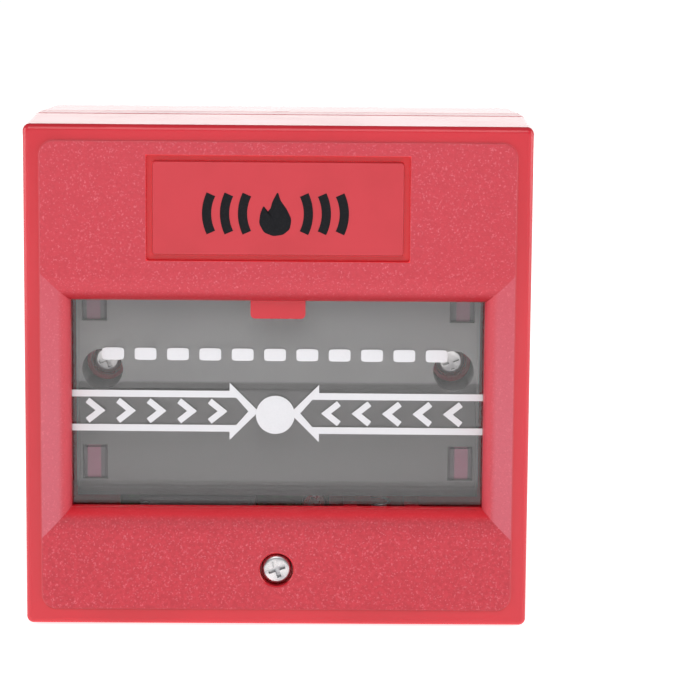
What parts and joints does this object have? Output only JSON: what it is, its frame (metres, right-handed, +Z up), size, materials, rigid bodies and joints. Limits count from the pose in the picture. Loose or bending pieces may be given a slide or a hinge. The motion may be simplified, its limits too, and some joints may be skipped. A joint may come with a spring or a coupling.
{
  "type": "manual call point",
  "caption": "Square red wall-mounted call point with a hinged cover, a clear press plate in a rolled window, and a switch and key reset behind it.",
  "frame": {"origin": "centre of the back box's wall face", "axes": "+Z up, front face towards -Y, +Y into the wall"},
  "size_m": [0.086, 0.052, 0.086],
  "materials": {
    "red_cover": "moulded ABS, fine grained panel inside a smooth gloss rim",
    "red_label": "smooth moulded ABS with a black print",
    "red_frame": "smooth moulded ABS",
    "red_box": "smooth moulded ABS",
    "clear_plate": "clear polycarbonate with a white print",
    "grey_panel": "moulded grey ABS",
    "bright_steel": "bright zinc plate",
    "spring_steel": "plain spring steel",
    "brass": "turned brass",
    "tin": "tinned copper",
    "nylon": "natural nylon",
    "board_green": "glass epoxy with solder resist",
    "switch_black": "black thermoplastic",
    "switch_plunger": "red acetal",
    "terminal_green": "green polyamide",
    "slider_white": "white acetal",
    "white_ink": "white screen print on the press plate",
    "black_ink": "black pad print on the label plate"
  },
  "bodies": {
    "housing": {"back_box": "red_box", "middle_frame": "red_frame", "screw_insert": "brass", "frame_screws": "bright_steel", "inner_panel": "grey_panel", "circuit_board": "board_green", "board_screws": "bright_steel", "microswitch_base": "switch_black", "microswitch_cap": "switch_black", "lever_pin": "spring_steel", "microswitch_contacts": "brass", "contact_leaf": "brass", "terminal_block": "terminal_green", "terminal_clamps": "brass", "terminal_screws": "bright_steel", "terminal_pins": "tin", "reset_spring": "spring_steel"},
    "cover": {"front_cover": "red_cover", "label_plate": "red_label"},
    "cover_fixing": {"cover_screw": "bright_steel", "screw_retainer": "nylon"},
    "plate": {"press_plate": "clear_plate"},
    "lever": {"microswitch_lever": "spring_steel"},
    "plunger": {"microswitch_plunger": "switch_plunger"},
    "slider": {"reset_slider": "slider_white"}
  },
  "joints": [
    {"name": "cover_hinge", "type": "hinge", "parent": "housing", "child": "cover", "pos_m": [0, -0.02995, 0.0425], "axis": [-1, 0, 0], "range_deg": [0, 90]},
    {"name": "cover_screw_turn", "type": "hinge", "parent": "cover", "child": "cover_fixing", "pos_m": [0, -0.052, -0.03295], "axis": [0, -1, 0], "continuous": true},
    {"name": "plate_press", "type": "hinge", "parent": "housing", "child": "plate", "pos_m": [0, -0.046, 0.0162], "axis": [1, 0, 0], "range_deg": [0, 4]},
    {"name": "switch_lever_swing", "type": "hinge", "parent": "housing", "child": "lever", "pos_m": [-0.0229, -0.04105, -0.0258], "axis": [0, 0, 1], "range_deg": [0, 10.71]},
    {"name": "switch_plunger_travel", "type": "slide", "parent": "housing", "child": "plunger", "axis": [0, 1, 0], "range_m": [0, 0.00116]},
    {"name": "reset_slide", "type": "slide", "parent": "housing", "child": "slider", "axis": [0, 0, 1], "range_m": [0, 0.003], "stiffness_N_per_m": 120, "springref_m": -0.001, "deforming": ["reset_spring"]}
  ],
  "couplings": [
    {"joint": "switch_lever_swing", "follows": "plate_press", "ratio": 2.664},
    {"joint": "switch_plunger_travel", "follows": "plate_press", "m_per_rad": 0.01652}
  ]
}
